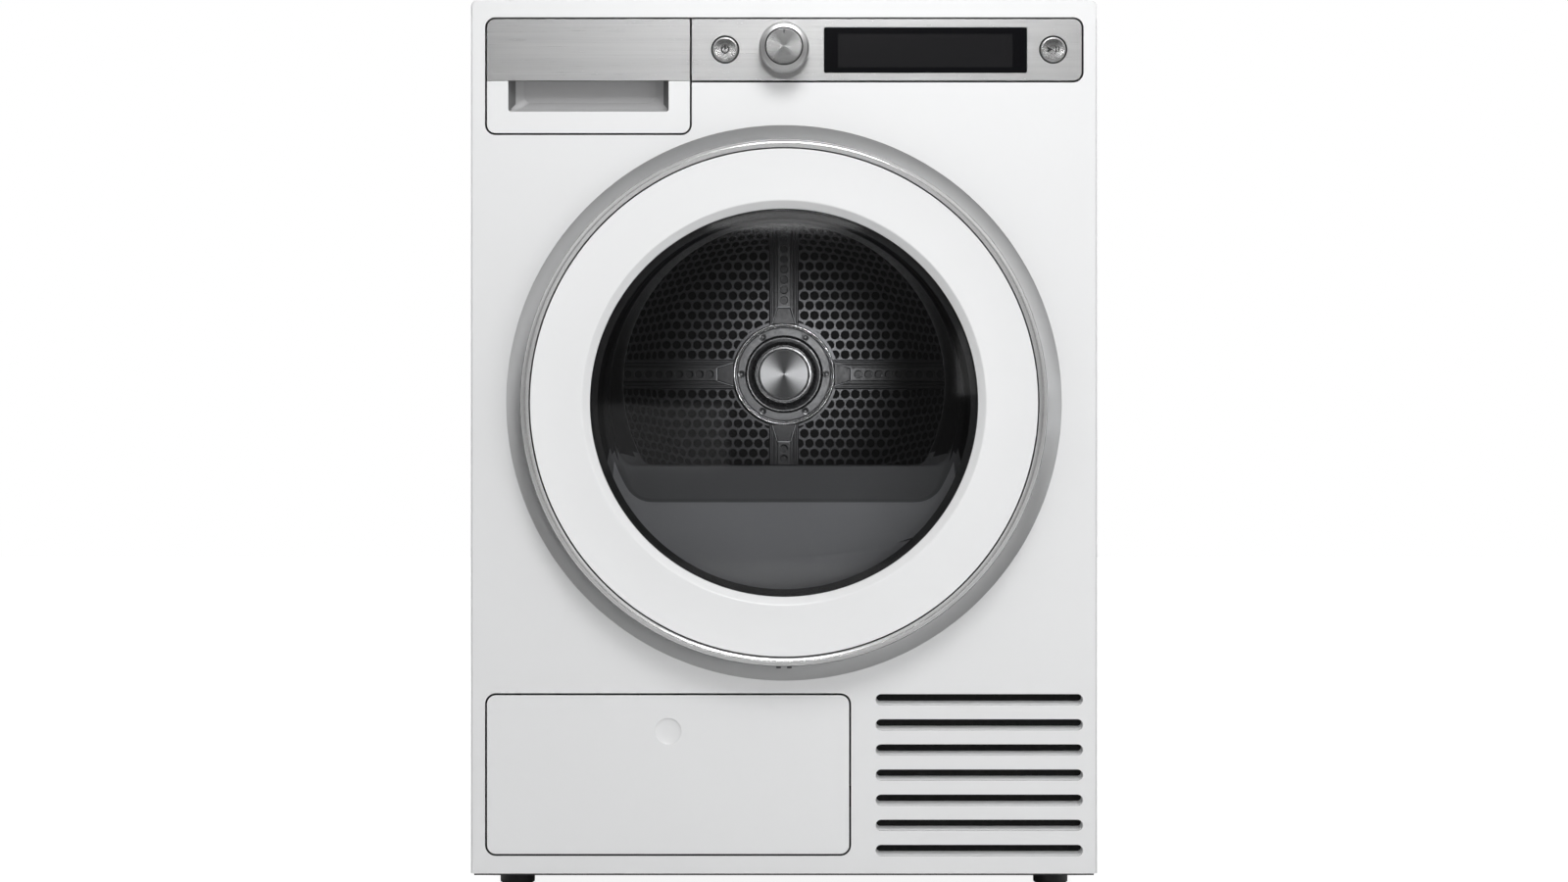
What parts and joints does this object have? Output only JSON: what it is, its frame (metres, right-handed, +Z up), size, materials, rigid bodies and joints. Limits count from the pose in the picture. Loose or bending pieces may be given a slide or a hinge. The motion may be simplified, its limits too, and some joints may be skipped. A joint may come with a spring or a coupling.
{
  "type": "clothes dryer",
  "caption": "Front-loading heat-pump tumble dryer with round glass door, turning drum, pull-out water tank, knob, push buttons, service flap and levelling feet.",
  "frame": {"origin": "centre of the footprint at floor level", "axes": "+Z up, front of the machine towards -Y, +X to the viewer's right when facing the front"},
  "size_m": [0.595, 0.655, 0.85],
  "materials": {
    "white_enamel": "glossy white powder coat",
    "white_plastic": "white moulded plastic",
    "brushed_fascia": "horizontally brushed",
    "satin_ring": "satin plated ring",
    "turned_steel": "turned and radially brushed",
    "display_black": "gloss black window",
    "smoked_glass": "smoked glass",
    "clear_glass": "clear glass",
    "dark_plastic": "dark grey plastic",
    "black_plastic": "black plastic",
    "grey_plastic": "light grey plastic",
    "zinc_steel": "galvanised sheet",
    "drum_steel": "stainless steel",
    "cast_aluminium": "cast or turned aluminium",
    "black_rubber": "soft rubber",
    "black_enamel": "black paint"
  },
  "bodies": {
    "cabinet": {"base_pan": "grey_plastic", "side_panel_left": "white_enamel", "side_panel_right": "white_enamel", "top_cover": "white_enamel", "front_panel": "white_enamel", "vent_louvre": "grey_plastic", "rear_panel": "zinc_steel", "rear_duct_cover": "zinc_steel", "drain_spigot": "grey_plastic", "mains_inlet": "black_plastic", "control_fascia": "brushed_fascia", "display_glass": "display_black", "container_housing": "grey_plastic", "door_hinge_bracket": "zinc_steel", "door_latch": "grey_plastic", "door_seal": "black_rubber", "front_bulkhead": "dark_plastic", "filter_housing": "black_plastic", "bearing_housing": "cast_aluminium", "drive_belt": "black_rubber", "motor_body": "cast_aluminium", "blower_housing": "grey_plastic", "compressor": "black_enamel", "heat_pump_housing": "grey_plastic", "evaporator": "cast_aluminium", "condenser": "cast_aluminium", "exchanger_cover": "grey_plastic"},
    "door": {"door_trim": "satin_ring", "door_frame": "white_plastic", "door_glass": "smoked_glass", "door_inner_frame": "dark_plastic", "door_inner_glass": "clear_glass", "door_hinge_leaf": "zinc_steel", "door_hook": "zinc_steel"},
    "drum": {"drum_shell": "drum_steel", "drum_back": "drum_steel", "drum_spider": "black_plastic", "hub_cap": "cast_aluminium", "drum_lifter_1": "grey_plastic", "drum_lifter_2": "grey_plastic", "drum_lifter_3": "grey_plastic"},
    "rotor": {"motor_shaft": "drum_steel", "blower_wheel": "grey_plastic"},
    "roller_left": {"support_roller_left": "black_rubber"},
    "roller_right": {"support_roller_right": "black_rubber"},
    "container": {"container_front": "white_plastic", "container_trim": "brushed_fascia", "container_tank": "grey_plastic"},
    "knob": {"selector_knob": "turned_steel"},
    "power": {"power_button": "turned_steel"},
    "start": {"start_button": "turned_steel"},
    "flap": {"service_flap": "white_plastic"},
    "lever_left": {"cover_lever_left": "dark_plastic"},
    "lever_right": {"cover_lever_right": "dark_plastic"},
    "lint_filter": {"lint_filter": "grey_plastic"},
    "foot_fl": {"foot_front_left": "dark_plastic"},
    "foot_fr": {"foot_front_right": "dark_plastic"},
    "foot_rl": {"foot_rear_left": "dark_plastic"},
    "foot_rr": {"foot_rear_right": "dark_plastic"}
  },
  "joints": [
    {"name": "door_hinge", "type": "hinge", "parent": "cabinet", "child": "door", "pos_m": [0.244, -0.3095, 0.4675], "axis": [0, 0, 1], "range_deg": [0, 130]},
    {"name": "drum_spin", "type": "hinge", "parent": "cabinet", "child": "drum", "pos_m": [0, 0.0025, 0.505], "axis": [0, 1, 0], "continuous": true},
    {"name": "motor_spin", "type": "hinge", "parent": "cabinet", "child": "rotor", "pos_m": [0.185, 0.1025, 0.19], "axis": [0, 1, 0], "continuous": true},
    {"name": "roller_left_spin", "type": "hinge", "parent": "cabinet", "child": "roller_left", "pos_m": [-0.19412, -0.1615, 0.25654], "axis": [0, 1, 0], "continuous": true},
    {"name": "roller_right_spin", "type": "hinge", "parent": "cabinet", "child": "roller_right", "pos_m": [0.19412, -0.1615, 0.25654], "axis": [0, 1, 0], "continuous": true},
    {"name": "container_slide", "type": "slide", "parent": "cabinet", "child": "container", "axis": [0, -1, 0], "range_m": [0, 0.4]},
    {"name": "knob_turn", "type": "hinge", "parent": "cabinet", "child": "knob", "pos_m": [0, -0.3125, 0.8029], "axis": [0, 1, 0], "continuous": true},
    {"name": "power_press", "type": "slide", "parent": "cabinet", "child": "power", "axis": [0, 1, 0], "range_m": [0, 0.0015], "stiffness_N_per_m": 400},
    {"name": "start_press", "type": "slide", "parent": "cabinet", "child": "start", "axis": [0, 1, 0], "range_m": [0, 0.0015], "stiffness_N_per_m": 400},
    {"name": "flap_hinge", "type": "hinge", "parent": "cabinet", "child": "flap", "pos_m": [-0.11005, -0.2973, 0.041], "axis": [1, 0, 0], "range_deg": [0, 90]},
    {"name": "lever_left_turn", "type": "hinge", "parent": "cabinet", "child": "lever_left", "pos_m": [-0.236, -0.2797, 0.1146], "axis": [0, 1, 0], "range_deg": [0, 90]},
    {"name": "lever_right_turn", "type": "hinge", "parent": "cabinet", "child": "lever_right", "pos_m": [0.0159, -0.2797, 0.1146], "axis": [0, 1, 0], "range_deg": [-90, 0]},
    {"name": "filter_lift", "type": "slide", "parent": "cabinet", "child": "lint_filter", "axis": [0, 0, 1], "range_m": [0, 0.15]},
    {"name": "foot_fl_screw", "type": "hinge", "parent": "cabinet", "child": "foot_fl", "pos_m": [-0.2605, -0.1995, 0.01], "axis": [0, 0, 1], "continuous": true},
    {"name": "foot_fr_screw", "type": "hinge", "parent": "cabinet", "child": "foot_fr", "pos_m": [0.2605, -0.1995, 0.01], "axis": [0, 0, 1], "continuous": true},
    {"name": "foot_rl_screw", "type": "hinge", "parent": "cabinet", "child": "foot_rl", "pos_m": [-0.2605, 0.2475, 0.01], "axis": [0, 0, 1], "continuous": true},
    {"name": "foot_rr_screw", "type": "hinge", "parent": "cabinet", "child": "foot_rr", "pos_m": [0.2605, 0.2475, 0.01], "axis": [0, 0, 1], "continuous": true}
  ],
  "couplings": [
    {"joint": "motor_spin", "follows": "drum_spin", "ratio": 28},
    {"joint": "roller_left_spin", "follows": "drum_spin", "ratio": -8},
    {"joint": "roller_right_spin", "follows": "drum_spin", "ratio": -8}
  ]
}
